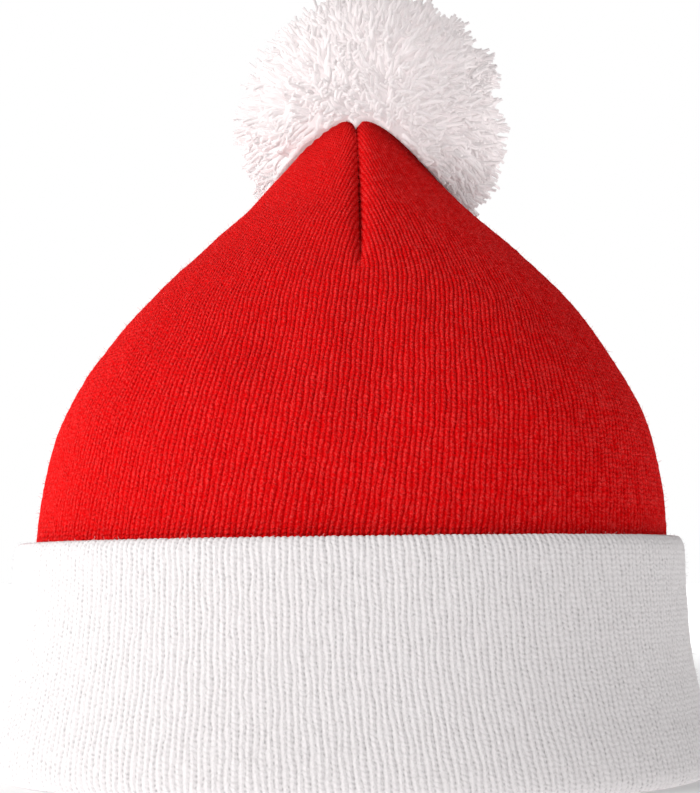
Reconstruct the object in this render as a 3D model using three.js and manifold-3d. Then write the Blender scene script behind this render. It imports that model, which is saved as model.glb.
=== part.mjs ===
// Knitted hat with a turned-up cuff and a pompom, in millimetres.
// +Z is up, -Y is the front, and the origin is the middle of the rim on the surface it stands on.
import * as THREE from "three";
import { LoftGeometry } from "three/addons/geometries/LoftGeometry.js";
import { mergeVertices } from "three/addons/utils/BufferGeometryUtils.js";
import Module from "manifold-3d";

const wasm = await Module();
wasm.setup();

const FULL_TURN = 2 * Math.PI;
const DEGREE = Math.PI / 180;
const UP = new THREE.Vector3(0, 1, 0);

// Shared sizes of the knit.
const WALL = 3.8; // two plies of the red tube, and of the white tube inside the cuff
const FLAP = 4.2; // the turned-up part of the cuff is looser and a little thicker
const SLIT = 1.3; // room between the turned-up part and the wall behind it
const GAP = 0.3; // clearance between neighbouring pieces
const SQUARENESS = 2.3; // exponent of the outline seen from above: 2 is an ellipse
const COLUMNS = 64; // facets round the hat
const COLUMN_BIAS = 0.4; // draws the columns together at the four darts

// Crown, outer face: one row for each level ring, from the lower edge to the eyelet at the tip.
// Lean tips a ring about the X axis: negative lifts its front.
const SEAM_Z = 44; // where red meets white, hidden behind the cuff
const CROWN_COLUMNS = ["z", "halfWidth", "halfDepth", "shiftX", "shiftY", "lean"];
const CROWN_RINGS = [
  { z: SEAM_Z + GAP, halfWidth: 93.4, halfDepth: 74.0, shiftX: 1.2, shiftY: 0, lean: 0 },
  { z: 65, halfWidth: 92.9, halfDepth: 73.5, shiftX: 1.8, shiftY: 0, lean: 0 },
  { z: 83, halfWidth: 91.3, halfDepth: 72.0, shiftX: 2.2, shiftY: 0.2, lean: 0 },
  { z: 101, halfWidth: 86.8, halfDepth: 68.5, shiftX: 2.8, shiftY: 0.5, lean: 0 },
  { z: 119, halfWidth: 77.4, halfDepth: 61.6, shiftX: 3.2, shiftY: 1.0, lean: 0 },
  { z: 137, halfWidth: 64.8, halfDepth: 52.6, shiftX: 4.0, shiftY: 2.2, lean: -0.02 },
  { z: 152, halfWidth: 51.2, halfDepth: 43.0, shiftX: 4.1, shiftY: 4.0, lean: -0.06 },
  { z: 166, halfWidth: 37.0, halfDepth: 32.4, shiftX: 3.9, shiftY: 6.2, lean: -0.14 },
  { z: 178.5, halfWidth: 26.0, halfDepth: 23.6, shiftX: 3.6, shiftY: 8.0, lean: -0.24 },
  { z: 188.5, halfWidth: 17.0, halfDepth: 15.6, shiftX: 3.2, shiftY: 9.2, lean: -0.32 },
  { z: 194, halfWidth: 9.0, halfDepth: 8.4, shiftX: 3.0, shiftY: 9.8, lean: -0.36 },
  { z: 195.3, halfWidth: 1.9, halfDepth: 1.9, shiftX: 3.0, shiftY: 10, lean: -0.36 },
];
const CROWN_ROWS_OUTSIDE = 20;
const CROWN_ROWS_INSIDE = 12;
const CROWN_ROW_BIAS = 1.45; // draws the rows together towards the tip

// Four darts cross at the tip: front, back, left and right. One row for each place along a dart,
// measured down the wall from the eyelet.
const DART_COLUMNS = ["depth", "width"];
const DART_PLACES = [
  { fromTip: 0, depth: 2.8, width: 1.5 },
  { fromTip: 14, depth: 3.2, width: 1.8 },
  { fromTip: 32, depth: 3.8, width: 2.2 },
  { fromTip: 60, depth: 2.2, width: 2.4 },
  { fromTip: 86, depth: 0, width: 2.4 },
];
const TIP_BLEND_START = 6; // near the tip the wall is measured along the tip's own axis
const TIP_BLEND_END = 26;

// Soft dents in the crown: angle from the front towards +X, rise along the wall from its lower edge.
const DENTS = [
  { angle: -20, rise: 76, radius: 10, depth: 1.2 },
  { angle: 2, rise: 88, radius: 8, depth: 1.0 },
  { angle: 5, rise: 61, radius: 10, depth: 0.9 },
  { angle: 88, rise: 70, radius: 14, depth: 1.2 },
  { angle: 160, rise: 66, radius: 13, depth: 1.3 },
  { angle: -118, rise: 82, radius: 12, depth: 1.2 },
];

// Cuff, outer face: one row for each level ring.
const CUFF_HEIGHT = 65;
const CUFF_TILT = 0.012; // the top edge is higher at +X
const CUFF_COLUMNS = ["z", "halfWidth", "halfDepth", "shiftX"];
const CUFF_RINGS = [
  { z: 0, halfWidth: 107.4, halfDepth: 87.0, shiftX: 0 },
  { z: 10, halfWidth: 105.9, halfDepth: 85.6, shiftX: 0 },
  { z: 19, halfWidth: 103.6, halfDepth: 83.5, shiftX: 0 },
  { z: 33, halfWidth: 100.7, halfDepth: 81.0, shiftX: 0.2 },
  { z: 47, halfWidth: 99.2, halfDepth: 79.6, shiftX: 0.8 },
  { z: 58, halfWidth: 98.6, halfDepth: 79.0, shiftX: 1.2 },
  { z: 70, halfWidth: 98.3, halfDepth: 78.8, shiftX: 1.4 },
];
const CUFF_WAVES = [
  { count: 3, height: 0.25, turn: 40 },
  { count: 5, height: 0.2, turn: 115 },
];
const FOLD_DROP = 5; // thickness of the knit under the slit, where it folds at the rim
const REST_FLAT_OUT = 3.2; // the rim is pressed flat between these two depths
const REST_FLAT_IN = 7.4;
const CORNER_DEPTH = 0.9; // middle of each rounded corner
const CORNER_RISE = 1.5;
const FACE_LEVELS = [14, 24, 36, 48]; // heights of the rings up the outer face
const WALL_LEVEL = 24; // height of the middle ring on the hidden faces
const TOP_TURNS = [30, 90, 150]; // degrees round the soft top edge

// Pompom and its tie.
const POMPOM_CENTRE = new THREE.Vector3(8.2, 24.5, 201);
const POMPOM_RADIUS = 42.5;
const HEAD_SHARE = 0.8; // head radius as a share of the pompom's
const HEAD_DETAIL = 2;
const LOCK_COUNT = 76;
const LOCK_SIDES = 5;
const LOCK_ROOT = 3; // radius where a lock starts, inside the head
const LOCK_TIP = 6.7; // radius at its shoulder
const LOCK_START = 0.48; // places along a lock, as shares of its length
const LOCK_SHOULDER = 0.92;
const LOCK_END = 1.02;
const LOCK_SPREAD = 0.05; // how far lock lengths differ, as a share of the radius
const LOCK_SKEW = 0.08; // how far locks point away from straight out
const TIE_RADIUS = 1.5;
const TIE_REACH = 18; // how far the shank goes into the pompom
const KNOT_RADIUS = 4.5;
const KNOT_HEIGHT = 4;
const KNOT_END = 0.7; // radius of the knot's flat ends, as a share of its own
const TIE_SIDES = 14;

// A smooth curve through the rows of a table: reads its columns at a place along it.
function tableCurve(rows, columns, places) {
  const values = rows.flatMap((row) => columns.map((column) => row[column]));
  const curve = new THREE.CubicInterpolant(places, values, columns.length);
  return (place) => {
    const found = curve.evaluate(place);
    return Object.fromEntries(columns.map((column, i) => [column, found[i]]));
  };
}

// Distances up the wall to each ring of the crown.
function ringDistances(rows) {
  const distances = [0];
  for (let i = 1; i < rows.length; i++) {
    const step = Math.hypot(rows[i].z - rows[i - 1].z, rows[i].halfWidth - rows[i - 1].halfWidth);
    distances.push(distances[i - 1] + step);
  }
  return distances;
}

// A point of the rounded outline at an angle from the front towards +X.
function outline(angle, halfWidth, halfDepth) {
  const across = Math.sin(angle);
  const along = Math.cos(angle);
  const sum = Math.abs(across / halfWidth) ** SQUARENESS + Math.abs(along / halfDepth) ** SQUARENESS;
  const reach = sum ** (-1 / SQUARENESS);
  return new THREE.Vector2(reach * across, -reach * along);
}

// Angles round the hat, closer together at the four darts.
function columnAngles() {
  return Array.from({ length: COLUMNS }, (_, i) => {
    const even = (i / COLUMNS) * FULL_TURN;
    return even - (COLUMN_BIAS / 4) * Math.sin(4 * even);
  });
}

const angles = columnAngles();
const crownPlaces = ringDistances(CROWN_RINGS);
const crownLength = crownPlaces[crownPlaces.length - 1];
const crownCurve = tableCurve(CROWN_RINGS, CROWN_COLUMNS, crownPlaces);
const dartCurve = tableCurve(DART_PLACES, DART_COLUMNS, DART_PLACES.map((row) => row.fromTip));
const dartEnd = DART_PLACES[DART_PLACES.length - 1].fromTip;
const cuffCurve = tableCurve(CUFF_RINGS, CUFF_COLUMNS, CUFF_RINGS.map((row) => row.z));
const tipRing = CROWN_RINGS[CROWN_RINGS.length - 1];
const tipLean = Math.atan(-tipRing.lean);
const tipAxis = new THREE.Vector3(0, Math.sin(tipLean), Math.cos(tipLean));
const tip = new THREE.Vector3(tipRing.shiftX, tipRing.shiftY, tipRing.z);

// The dome before darts and dents are pressed into it.
function domePoint(rise, angle) {
  const ring = crownCurve(rise);
  const flat = outline(angle, ring.halfWidth, ring.halfDepth);
  return new THREE.Vector3(flat.x + ring.shiftX, flat.y + ring.shiftY, ring.z + ring.lean * flat.y);
}

// The way out of the wall: the dome's normal, turning into the tip's own axis near the tip.
function outward(rise, angle) {
  const step = 0.01;
  const low = Math.max(rise - step, 0);
  const high = Math.min(rise + step, crownLength);
  const upwards = domePoint(high, angle).sub(domePoint(low, angle));
  const round = domePoint(rise, angle + step).sub(domePoint(rise, angle - step));
  const normal = round.cross(upwards).normalize();
  const share = THREE.MathUtils.smoothstep(crownLength - rise, TIP_BLEND_START, TIP_BLEND_END);
  return normal.lerp(tipAxis, 1 - share).normalize();
}

// How far the wall is drawn in at a point by the darts.
function dartDepth(rise, point) {
  const fromTip = crownLength - rise;
  if (fromTip >= dartEnd) {
    return 0;
  }
  const ring = crownCurve(rise);
  const dart = dartCurve(fromTip);
  const aside = Math.min(Math.abs(point.x - ring.shiftX), Math.abs(point.y - ring.shiftY));
  return dart.depth * Math.exp(-aside / dart.width);
}

const dentCentres = DENTS.map((dent) => domePoint(dent.rise, dent.angle * DEGREE));

// How far the soft dents push a point in.
function dentDepth(point) {
  return DENTS.reduce((sum, dent, i) => {
    const away = point.distanceTo(dentCentres[i]) / dent.radius;
    return sum + dent.depth * Math.exp(-away * away);
  }, 0);
}

// A point of the crown's wall: inset 0 is the outer face and WALL is the inner one.
function crownPoint(rise, angle, inset) {
  const point = domePoint(rise, angle);
  const drawnIn = dartDepth(rise, point) + dentDepth(point) + inset;
  return point.addScaledVector(outward(rise, angle), -drawnIn);
}

function crownRing(rise, inset) {
  return angles.map((angle) => crownPoint(rise, angle, inset));
}

// Levels up the wall, closer together towards the tip.
function crownLevels(count) {
  return Array.from({ length: count + 1 }, (_, i) => {
    return crownLength * (1 - (1 - i / count) ** CROWN_ROW_BIAS);
  });
}

// Indexed geometry with merged vertices and without collapsed triangles.
function merged(geometry) {
  const bare = new THREE.BufferGeometry().copy(geometry);
  bare.deleteAttribute("normal");
  bare.deleteAttribute("uv");
  const joined = mergeVertices(bare);
  const kept = [];
  const corners = joined.index.array;
  for (let i = 0; i < corners.length; i += 3) {
    const [a, b, c] = corners.slice(i, i + 3);
    if (a !== b && b !== c && c !== a) {
      kept.push(a, b, c);
    }
  }
  joined.setIndex(kept);
  joined.computeVertexNormals();
  return joined;
}

// Rings joined one to the next, and the last back to the first.
function loopLoft(rings) {
  return merged(new LoftGeometry([...rings, rings[0]]));
}

function solidOf(geometry) {
  const closed = merged(geometry);
  return new wasm.Manifold(new wasm.Mesh({
    numProp: 3,
    vertProperties: Float32Array.from(closed.attributes.position.array),
    triVerts: Uint32Array.from(closed.index.array),
  }));
}

function geometryOf(solid) {
  const mesh = solid.getMesh();
  const geometry = new THREE.BufferGeometry();
  geometry.setAttribute("position", new THREE.BufferAttribute(Float32Array.from(mesh.vertProperties), 3));
  geometry.setIndex(new THREE.BufferAttribute(Uint32Array.from(mesh.triVerts), 1));
  geometry.computeVertexNormals();
  return geometry;
}

// Crown: up the outer face, through the eyelet, and down the inner face.
function makeCrown() {
  const outside = crownLevels(CROWN_ROWS_OUTSIDE).map((rise) => crownRing(rise, 0));
  const inside = crownLevels(CROWN_ROWS_INSIDE).map((rise) => crownRing(rise, WALL));
  return loopLoft([...outside, ...inside.reverse()]);
}

// Cuff section: depth in from the outer face, and height, going round from the rim's flat.
function cuffSection() {
  const wallOut = FLAP + SLIT;
  const wallIn = FLAP + SLIT + WALL;
  const edgeStart = CUFF_HEIGHT - FLAP;
  const topEdge = TOP_TURNS.map((turn) => [
    (FLAP / 2) * (1 - Math.cos(turn * DEGREE)),
    edgeStart + FLAP * Math.sin(turn * DEGREE),
  ]);
  return [
    [REST_FLAT_IN, 0],
    [REST_FLAT_OUT, 0],
    [CORNER_DEPTH, CORNER_RISE],
    [0, FOLD_DROP],
    ...FACE_LEVELS.map((z) => [0, z]),
    [0, edgeStart],
    ...topEdge,
    [FLAP, edgeStart],
    [FLAP, WALL_LEVEL],
    [FLAP, FOLD_DROP + SLIT],
    [FLAP + SLIT / 2, FOLD_DROP],
    [wallOut, FOLD_DROP + SLIT],
    [wallOut, WALL_LEVEL],
    [wallOut, SEAM_Z],
    [wallIn, SEAM_Z],
    [wallIn, WALL_LEVEL],
    [wallIn, FOLD_DROP],
    [wallIn - CORNER_DEPTH, CORNER_RISE],
  ];
}

// A point of the cuff, with the waves and the tilt of its top edge growing with height.
function cuffPoint(angle, depth, z) {
  const ring = cuffCurve(z);
  const share = z / CUFF_HEIGHT;
  const wave = CUFF_WAVES.reduce((sum, row) => {
    return sum + row.height * Math.sin(row.count * angle + row.turn * DEGREE);
  }, 0);
  const out = share * wave - depth;
  const flat = outline(angle, ring.halfWidth + out, ring.halfDepth + out);
  const onFlap = depth <= FLAP ? 1 : 0;
  const lift = onFlap * share ** 2 * CUFF_TILT * flat.x;
  return new THREE.Vector3(flat.x + ring.shiftX, flat.y, z + lift);
}

function makeCuff() {
  return loopLoft(cuffSection().map(([depth, z]) => angles.map((angle) => cuffPoint(angle, depth, z))));
}

// A repeatable number between -1 and 1.
function scatter(index, kind) {
  const wave = Math.sin(index * 12.9898 + kind * 78.233) * 43758.5453;
  return 2 * (wave - Math.floor(wave)) - 1;
}

// One lock: narrow at the root, fuller at its cut end, along +Y from the pompom's middle.
function lockGeometry(length) {
  const profile = [
    [0, length * LOCK_START],
    [LOCK_ROOT, length * LOCK_START],
    [LOCK_TIP, length * LOCK_SHOULDER],
    [0, length * LOCK_END],
  ];
  return new THREE.LatheGeometry(profile.map(([radius, y]) => new THREE.Vector2(radius, y)), LOCK_SIDES);
}

// Directions spread evenly over a ball.
function lockDirection(index) {
  const height = 1 - (2 * (index + 0.5)) / LOCK_COUNT;
  const turn = index * Math.PI * (3 - Math.sqrt(5));
  const level = Math.sqrt(1 - height * height);
  const skew = new THREE.Vector3(scatter(index, 1), scatter(index, 2), scatter(index, 3));
  const straight = new THREE.Vector3(level * Math.cos(turn), level * Math.sin(turn), height);
  return straight.addScaledVector(skew, LOCK_SKEW).normalize();
}

function ringMiddle(ring) {
  const sum = ring.reduce((total, point) => total.add(point), new THREE.Vector3());
  return sum.divideScalar(ring.length);
}

// Everything the tip of the crown takes up, with clearance round it.
function crownClearance() {
  const rings = crownLevels(CROWN_ROWS_OUTSIDE).map((rise) => crownRing(rise, -GAP));
  const middles = [rings[0], rings[rings.length - 1]].map(ringMiddle);
  const [floor, lid] = middles.map((middle) => angles.map(() => middle));
  return solidOf(new LoftGeometry([floor, ...rings, lid]));
}

// A turned shape standing on the tip's own axis.
function onTipAxis(profile) {
  const geometry = new THREE.LatheGeometry(profile.map(([r, y]) => new THREE.Vector2(r, y)), TIE_SIDES);
  geometry.applyQuaternion(new THREE.Quaternion().setFromUnitVectors(UP, tipAxis));
  return geometry.translate(tip.x, tip.y, tip.z);
}

const dimple = DART_PLACES[0].depth;
const knotTop = -(dimple + WALL + GAP);
const shankEnd = TIE_REACH - dimple;

// Tie: a shank through the eyelet with a knot inside the crown.
function makeTie() {
  return merged(onTipAxis([
    [0, knotTop - KNOT_HEIGHT],
    [KNOT_RADIUS * KNOT_END, knotTop - KNOT_HEIGHT],
    [KNOT_RADIUS, knotTop - KNOT_HEIGHT / 2],
    [KNOT_RADIUS * KNOT_END, knotTop],
    [TIE_RADIUS, knotTop],
    [TIE_RADIUS, shankEnd],
    [0, shankEnd],
  ]));
}

function makePompom() {
  const head = new THREE.IcosahedronGeometry(POMPOM_RADIUS * HEAD_SHARE, HEAD_DETAIL);
  let ball = solidOf(head.translate(POMPOM_CENTRE.x, POMPOM_CENTRE.y, POMPOM_CENTRE.z));
  for (let i = 0; i < LOCK_COUNT; i++) {
    const lock = lockGeometry(POMPOM_RADIUS * (1 + LOCK_SPREAD * scatter(i, 4)));
    lock.applyQuaternion(new THREE.Quaternion().setFromUnitVectors(UP, lockDirection(i)));
    lock.translate(POMPOM_CENTRE.x, POMPOM_CENTRE.y, POMPOM_CENTRE.z);
    ball = ball.add(solidOf(lock));
  }
  const socket = solidOf(onTipAxis([
    [0, knotTop],
    [TIE_RADIUS + GAP, knotTop],
    [TIE_RADIUS + GAP, shankEnd + GAP],
    [0, shankEnd + GAP],
  ]));
  const pieces = ball.subtract(crownClearance()).subtract(socket).decompose();
  pieces.sort((a, b) => b.volume() - a.volume());
  return geometryOf(pieces[0]);
}

function part(name, geometry, color, roughness) {
  const mesh = new THREE.Mesh(geometry, new THREE.MeshStandardMaterial({ color, roughness, metalness: 0 }));
  mesh.name = name;
  return mesh;
}

const hat = new THREE.Group();
hat.name = "knitted_santa_hat";
hat.add(part("crown", makeCrown(), 0xd21e1f, 0.9));
hat.add(part("cuff", makeCuff(), 0xeeebe8, 0.92));
hat.add(part("pompom", makePompom(), 0xf3ece9, 0.95));
hat.add(part("pompom_tie", makeTie(), 0xf0ebe6, 0.9));

export default hat;
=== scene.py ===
import math
import bmesh
import bpy
import numpy as np
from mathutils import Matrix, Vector
from mathutils.bvhtree import BVHTree


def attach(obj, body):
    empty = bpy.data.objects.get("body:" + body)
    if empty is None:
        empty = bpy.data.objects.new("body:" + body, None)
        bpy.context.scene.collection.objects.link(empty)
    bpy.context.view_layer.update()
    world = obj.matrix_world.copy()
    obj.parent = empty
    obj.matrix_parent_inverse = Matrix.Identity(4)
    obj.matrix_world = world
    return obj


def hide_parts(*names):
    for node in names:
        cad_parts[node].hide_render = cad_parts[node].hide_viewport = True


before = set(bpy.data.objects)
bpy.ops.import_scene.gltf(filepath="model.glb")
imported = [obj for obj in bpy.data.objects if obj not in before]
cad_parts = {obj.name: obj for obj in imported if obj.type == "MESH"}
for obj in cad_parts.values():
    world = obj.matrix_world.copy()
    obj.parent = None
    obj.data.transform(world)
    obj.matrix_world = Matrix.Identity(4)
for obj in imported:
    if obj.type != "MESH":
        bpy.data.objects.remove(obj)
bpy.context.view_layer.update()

scene = bpy.context.scene
mm = 0.001
print("frame loaded, nodes:", sorted(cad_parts))

# the view of the photograph: a low camera close to the front, tipped up a little
viewSetup = {
    "place": (1.2, -455.0, 56.0),  # mm
    "target": (1.2, 0.0, 109.0),
    "focalPixels": 1500.0,
    "imageHeight": 793.0,
    "sensor": 36.0,
}

def makeCamera(setup):
    data = bpy.data.cameras.new("photoView")
    data.sensor_width = setup["sensor"]
    data.lens = setup["focalPixels"] / setup["imageHeight"] * setup["sensor"]
    data.clip_start = 0.01
    camera = bpy.data.objects.new("photoView", data)
    scene.collection.objects.link(camera)
    place = Vector(setup["place"]) * mm
    target = Vector(setup["target"]) * mm
    camera.location = place
    camera.rotation_euler = (target - place).to_track_quat("-Z", "Y").to_euler()
    scene.camera = camera

makeCamera(viewSetup)
print("camera made")

def asRows(keys, rows):
    return [dict(zip(keys.split(), row)) for row in rows]

def readTable(rows, column, places, at):
    # smooth curve through one column of a table, slopes averaged from the neighbouring steps
    values = np.array([row[column] for row in rows], float)
    places = np.asarray(places, float)
    steps = np.diff(values) / np.diff(places)
    slopes = np.concatenate([steps[:1], (steps[:-1] + steps[1:]) / 2, steps[-1:]])
    at = np.clip(np.asarray(at, float), places[0], places[-1])
    i = np.clip(np.searchsorted(places, at, side="right") - 1, 0, len(places) - 2)
    span = places[i + 1] - places[i]
    p = (at - places[i]) / span
    return (values[i] * (2 * p**3 - 3 * p**2 + 1) + slopes[i] * span * (p**3 - 2 * p**2 + p)
            + values[i + 1] * (3 * p**2 - 2 * p**3) + slopes[i + 1] * span * (p**3 - p**2))

def smoothStep(value, low, high):
    t = np.clip((value - low) / (high - low), 0, 1)
    return t * t * (3 - 2 * t)

def shadeSmooth(mesh):
    mesh.polygons.foreach_set("use_smooth", np.ones(len(mesh.polygons), bool))

def meshFromGrid(name, points, faces, pointData, corners):
    # points may coincide: they are joined, and faces that collapse are dropped or become triangles
    keys, joined = np.unique(np.round(points * mm, 7), axis=0, return_inverse=True)
    joined = joined.reshape(-1)
    first = np.full(len(keys), len(points))
    np.minimum.at(first, joined, np.arange(len(points)))
    ids = joined[faces]
    same = ids == np.roll(ids, -1, axis=1)
    opposite = (ids[:, 0] == ids[:, 2]) | (ids[:, 1] == ids[:, 3])
    repeats = same.sum(axis=1)
    quads = np.flatnonzero((repeats == 0) & ~opposite)
    threes = np.flatnonzero((repeats == 1) & ~opposite)
    keep = np.array([[j for j in range(4) if j != drop] for drop in range(4)])
    threeCorners = keep[np.argmax(same[threes], axis=1)]
    triSource = np.take_along_axis(faces[threes], threeCorners, axis=1)
    loopSource = np.concatenate([faces[quads].ravel(), triSource.ravel()])
    loopVertex = joined[loopSource]
    sizes = np.concatenate([np.full(len(quads), 4), np.full(len(threes), 3)])
    starts = np.concatenate([[0], np.cumsum(sizes)[:-1]])
    mesh = bpy.data.meshes.new(name)
    mesh.vertices.add(len(keys))
    mesh.vertices.foreach_set("co", keys.ravel())
    mesh.loops.add(len(loopVertex))
    mesh.loops.foreach_set("vertex_index", loopVertex.astype(np.int32))
    mesh.polygons.add(len(sizes))
    mesh.polygons.foreach_set("loop_start", starts.astype(np.int32))
    mesh.update(calc_edges=True)
    mesh.validate()
    shadeSmooth(mesh)
    for key, values in pointData.items():
        layer = mesh.attributes.new(key, "FLOAT", "POINT")
        layer.data.foreach_set("value", values[first].astype(np.float32))
    uvLayer = mesh.uv_layers.new(name="knit")
    uvLayer.data.foreach_set("uv", corners[loopSource].astype(np.float32).ravel())
    return mesh

def ringFaces(rows, columns):
    # quads of a closed loop of rows; the first and last column share their places
    ids = np.arange(rows * columns).reshape(rows, columns)
    above = np.roll(ids, -1, axis=0)
    return np.stack([ids[:, :-1], ids[:, 1:], above[:, 1:], above[:, :-1]], -1).reshape(-1, 4)

def addObject(name, mesh):
    piece = bpy.data.objects.new(name, mesh)
    scene.collection.objects.link(piece)
    return piece

def settle(piece):
    # the evaluated result becomes the piece's own plain mesh
    graph = bpy.context.evaluated_depsgraph_get()
    done = bpy.data.meshes.new_from_object(piece.evaluated_get(graph))
    piece.modifiers.clear()
    old = piece.data
    piece.data = done
    bpy.data.meshes.remove(old)
    done.name = piece.name
    return done

def coordsOf(mesh):
    flat = np.empty(len(mesh.vertices) * 3)
    mesh.vertices.foreach_get("co", flat)
    return flat.reshape(-1, 3)

def setCoords(mesh, points):
    mesh.vertices.foreach_set("co", points.ravel())
    mesh.update()

def triangleCount(mesh):
    return sum(len(p.vertices) - 2 for p in mesh.polygons)

def linkOrSet(tree, socket, value):
    if hasattr(value, "outputs"):
        value = value.outputs[0]  # a node stands for its first output
    if hasattr(value, "is_linked"):
        tree.links.new(value, socket)
    else:
        socket.default_value = value

def setInputs(tree, node, inputs):
    for key, value in inputs.items():
        linkOrSet(tree, node.inputs[key], value)

def addNode(tree, kind, inputs=None, **settings):
    node = tree.nodes.new(kind)
    for key, value in settings.items():
        setattr(node, key, value)
    setInputs(tree, node, inputs or {})
    return node

def calc(tree, operation, *values):
    return addNode(tree, "ShaderNodeMath", dict(enumerate(values)), operation=operation)

def plus(tree, one, other):
    return calc(tree, "ADD", one, other)

def times(tree, one, other):
    return calc(tree, "MULTIPLY", one, other)

def vectorCalc(tree, operation, *values):
    node = addNode(tree, "ShaderNodeVectorMath", dict(enumerate(values)), operation=operation)
    return node.outputs["Value" if operation in ("LENGTH", "DOT_PRODUCT") else "Vector"]

def vectorSum(tree, one, other):
    return vectorCalc(tree, "ADD", one, other)

def scaled(tree, vector, size):
    return addNode(tree, "ShaderNodeVectorMath", {0: vector, "Scale": size}, operation="SCALE")

def source(tree, kind, output):
    return tree.nodes.new(kind).outputs[output]

def remap(tree, value, fromLow, fromHigh, toLow=0.0, toHigh=1.0, smooth=False):
    inputs = {"Value": value, "From Min": fromLow, "From Max": fromHigh, "To Min": toLow, "To Max": toHigh}
    kind = "SMOOTHSTEP" if smooth else "LINEAR"
    return addNode(tree, "ShaderNodeMapRange", inputs, interpolation_type=kind)

def centred(tree, value, size):
    # 0 to 1 becomes a spread of this size about zero
    return calc(tree, "MULTIPLY_ADD", value, size, -0.5 * size)

def swing(tree, angle):
    # between 0 and 1, and 1 at every full turn
    return calc(tree, "MULTIPLY_ADD", calc(tree, "COSINE", angle), 0.5, 0.5)

def noise(tree, scale, detail=2.0, vector=None):
    node = addNode(tree, "ShaderNodeTexNoise", {"Scale": scale, "Detail": detail})
    if vector is not None:
        linkOrSet(tree, node.inputs["Vector"], vector)
    return node

def aboutZero(tree, colour):
    return vectorCalc(tree, "SUBTRACT", colour, (0.5, 0.5, 0.5))

def randomValue(tree, low, high, inputs=None):
    # a vector where the limits are vectors, else a number
    vector = isinstance(low, tuple)
    limits = {0: low, 1: high} if vector else {2: low, 3: high}
    kind = "FLOAT_VECTOR" if vector else "FLOAT"
    node = addNode(tree, "FunctionNodeRandomValue", {**limits, **(inputs or {})}, data_type=kind)
    return node.outputs[0 if vector else 1]

def namedFloat(tree, name):
    return addNode(tree, "GeometryNodeInputNamedAttribute", {"Name": name}, data_type="FLOAT")

def newTree(name, inputs):
    kinds = {"Seed": "NodeSocketInt", "Crest": "NodeSocketVector"}
    tree = bpy.data.node_groups.new(name, "GeometryNodeTree")
    tree.interface.new_socket("Geometry", in_out="INPUT", socket_type="NodeSocketGeometry")
    ids = {}
    for key in inputs:
        socket = tree.interface.new_socket(key, in_out="INPUT", socket_type=kinds.get(key, "NodeSocketFloat"))
        ids[key] = socket.identifier
    tree.interface.new_socket("Geometry", in_out="OUTPUT", socket_type="NodeSocketGeometry")
    return tree, ids, tree.nodes.new("NodeGroupInput").outputs, tree.nodes.new("NodeGroupOutput")

def endTree(tree, leave, geometry, material):
    realize = addNode(tree, "GeometryNodeRealizeInstances", {"Geometry": geometry})
    finish = addNode(tree, "GeometryNodeSetMaterial", {"Geometry": realize, "Material": material})
    setInputs(tree, leave, {"Geometry": finish})

def runTree(piece, tree, ids, values):
    modifier = piece.modifiers.new(tree.name, "NODES")
    modifier.node_group = tree
    for key, value in values.items():
        modifier[ids[key]] = value
    return settle(piece)

def newMaterial(name):
    material = bpy.data.materials.new(name)
    material.use_nodes = True
    return material, material.node_tree, material.node_tree.nodes["Principled BSDF"]

def addRamp(tree, level, *stops):
    # the first and the last colour come first, then any between them
    ramp = addNode(tree, "ShaderNodeValToRGB", {"Fac": level})
    elements = ramp.color_ramp.elements
    for i, (position, colour) in enumerate(stops):
        element = elements[i] if i < 2 else elements.new(position)
        element.position = position
        element.color = (*colour, 1)
    return ramp

# outlines shared by the crown and the cuff, in mm
squareness = 2.3  # exponent of the outline seen from above

def outline(angle, halfWidth, halfDepth, power=squareness):
    across, along = np.sin(angle), np.cos(angle)
    total = np.abs(across / halfWidth) ** power + np.abs(along / halfDepth) ** power
    reach = total ** (-1 / power)
    return reach * across, -reach * along

def evenAngles(halfWidth, halfDepth, share, power):
    # angle in the first quarter turn at a share of that quarter's length, front to side
    turn = np.linspace(0, math.pi / 2, 121)
    x, y = outline(turn, halfWidth, halfDepth, power)
    length = np.concatenate([[0], np.cumsum(np.hypot(np.diff(x), np.diff(y)))])
    return np.interp(share, length / length[-1], turn)

def angleRound(halfWidth, halfDepth, quarter, share, power=squareness):
    # odd quarters run from the side to the front or back, so they are read backwards
    odd = quarter % 2 == 1
    inner = evenAngles(halfWidth, halfDepth, np.where(odd, 1 - share, share), power)
    return quarter * (math.pi / 2) + np.where(odd, math.pi / 2 - inner, inner)

# knit gauge: the tube has the same columns of stitch legs from rim to tip
knit = {
    "legs": 356,  # stitch legs round the hat, two for each column of stitches
    "perLeg": 3,  # mesh columns for each leg
    "course": 1.36,  # mm for each row of stitches
    "ridgePower": 0.8,  # under 1 for round legs and narrow grooves
    "tensionScale": 160,  # of the noise that makes legs uneven, and of the one that moves stitches
    "stitchScale": 620,
    "drift": [  # sideways drift of the ribs: legs, count round the hat, mm along the knit, start
        (0.10, 5, 11, 0.6), (0.07, 29, -2.9, 2.1), (0.06, 53, 2.1, 4.0), (0.05, 97, -1.7, 1.2),
    ],
}
legsPerQuarter = knit["legs"] / 4
allLegs = np.arange(knit["legs"] * knit["perLeg"] + 1) / knit["perLeg"]

def wobble(legs, along):
    turn = 2 * math.pi * legs / knit["legs"]
    return sum(size * np.sin(count * turn + along / pitch + start) for size, count, pitch, start in knit["drift"])

def knitMesh(name, rows):
    # rows round the hat: points, how far the ribs stand out, 1 where fibres show, way along the knit
    points, fade, shown, along = zip(*rows)
    columns = len(allLegs)
    wale = np.tile(allLegs, len(rows))
    pointData = {"wale": wale, "fade": np.concatenate(fade), "outer": np.repeat(np.array(shown, float), columns)}
    corners = np.stack([wale / 2, np.repeat(np.array(along) / knit["course"], columns)], -1)
    return meshFromGrid(name, np.concatenate(points), ringFaces(len(rows), columns), pointData, corners)

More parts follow.
